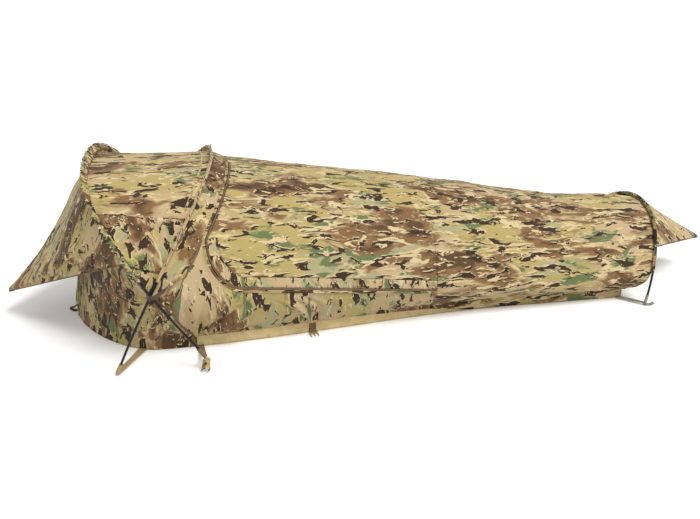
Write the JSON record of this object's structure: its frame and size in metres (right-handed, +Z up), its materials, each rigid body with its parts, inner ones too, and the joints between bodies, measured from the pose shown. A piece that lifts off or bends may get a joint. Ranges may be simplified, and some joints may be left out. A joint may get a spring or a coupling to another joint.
{
  "type": "hooped bivvy tent",
  "caption": "Low one-person bivvy tent on bent poles, with a zipped side door, side windows under flaps, a vent hood at each end and a coated groundsheet.",
  "frame": {"origin": "on the ground, on the tent's centre line, under the middle of the door", "axes": "+X from the sleeper's head to the feet along the tent, +Z up, so that the door is on the -Y side"},
  "size_m": [3.3729, 1.33, 0.733],
  "materials": {
    "camo_cloth": "woven polyester with a water repellent face, printed in mixed earth colours",
    "tan_coated_cloth": "coated, slightly shiny",
    "insect_net": "fine dark mesh",
    "brown_binding": "woven tape",
    "grey_webbing": "woven webbing",
    "black_anodised_pole": "black anodised, satin",
    "brown_plastic": "moulded, satin",
    "hood_wire": "dark coated spring wire"
  },
  "bodies": {
    "shell": {"groundsheet": "tan_coated_cloth", "near_tub_edge": "tan_coated_cloth", "far_tub_edge": "tan_coated_cloth", "foot_tub_edge": "tan_coated_cloth", "near_lower_wall": "camo_cloth", "far_wall": "camo_cloth", "near_foot_tube": "camo_cloth", "far_foot_tube": "camo_cloth", "foot_wall": "camo_cloth", "foot_vent_net": "insect_net", "head_wall": "camo_cloth", "head_vent_net": "insect_net", "roof_panel": "camo_cloth", "near_collar": "camo_cloth", "far_collar": "camo_cloth", "near_window_net": "insect_net", "near_side_wall": "camo_cloth", "far_window_net": "insect_net", "far_side_wall": "camo_cloth", "zip_chain": "brown_plastic", "rear_sleeve": "camo_cloth", "front_sleeve": "camo_cloth", "foot_sleeve": "camo_cloth", "rear_pole_1": "black_anodised_pole", "rear_pole_2": "black_anodised_pole", "rear_pole_3": "black_anodised_pole", "rear_pole_4": "black_anodised_pole", "front_pole_1": "black_anodised_pole", "front_pole_2": "black_anodised_pole", "front_pole_3": "black_anodised_pole", "front_pole_4": "black_anodised_pole", "foot_pole_1": "black_anodised_pole", "foot_pole_2": "black_anodised_pole", "foot_pole_3": "black_anodised_pole", "head_hood": "camo_cloth", "head_hood_wire": "hood_wire", "foot_hood": "camo_cloth", "foot_hood_wire": "hood_wire", "near_rear_hoop_strap": "tan_coated_cloth", "near_front_hoop_strap": "brown_binding", "near_foot_hoop_strap": "grey_webbing", "far_rear_hoop_strap": "tan_coated_cloth", "far_front_hoop_strap": "brown_binding", "far_foot_hoop_strap": "grey_webbing", "near_crossing_tab": "camo_cloth", "far_crossing_tab": "camo_cloth", "head_peg_loop": "brown_binding"},
    "door": {"door_panel": "camo_cloth", "door_band": "camo_cloth", "door_binding": "brown_binding"},
    "near_flap": {"near_window_flap": "camo_cloth"},
    "far_flap": {"far_window_flap": "camo_cloth"},
    "zip_slider": {"zip_slider": "brown_plastic"},
    "zip_pull": {"zip_pull": "brown_plastic"},
    "buckle": {"buckle_tab": "brown_binding", "buckle_plug": "brown_plastic"},
    "near_tail": {"near_strap_tail": "camo_cloth"},
    "far_tail": {"far_strap_tail": "camo_cloth"}
  },
  "joints": [
    {"name": "door_hinge", "type": "hinge", "parent": "shell", "child": "door", "pos_m": [-0.502, 0, 0.6678], "axis": [-0.99, 0, 0.1409], "range_deg": [0, 110]},
    {"name": "near_flap_hinge", "type": "hinge", "parent": "shell", "child": "near_flap", "pos_m": [-0.84432, -0.43011, 0.57978], "axis": [-0.9901, -0.0563, 0.1283], "range_deg": [0, 150]},
    {"name": "far_flap_hinge", "type": "hinge", "parent": "shell", "child": "far_flap", "pos_m": [-0.84432, 0.43011, 0.57978], "axis": [0.9901, -0.0563, -0.1283], "range_deg": [0, 150]},
    {"name": "zip_travel", "type": "slide", "parent": "shell", "child": "zip_slider", "axis": [-0.9835, -0.1186, 0.1366], "range_m": [0, 0.34]},
    {"name": "zip_pull_hinge", "type": "hinge", "parent": "zip_slider", "child": "zip_pull", "pos_m": [0.33877, -0.43803, 0.15987], "axis": [-0.9835, -0.1186, 0.1366], "range_deg": [0, 150]},
    {"name": "buckle_hinge", "type": "hinge", "parent": "shell", "child": "buckle", "pos_m": [-0.18384, -0.40719, 0.044], "axis": [-0.9906, -0.1366, 0], "range_deg": [0, 70]},
    {"name": "near_tail_swing", "type": "hinge", "parent": "shell", "child": "near_tail", "pos_m": [-0.63834, -0.65603, 0.05691], "axis": [1, 0, 0], "range_deg": [-25, 25]},
    {"name": "far_tail_swing", "type": "hinge", "parent": "shell", "child": "far_tail", "pos_m": [-0.63834, 0.65603, 0.05691], "axis": [1, 0, 0], "range_deg": [-25, 25]}
  ]
}
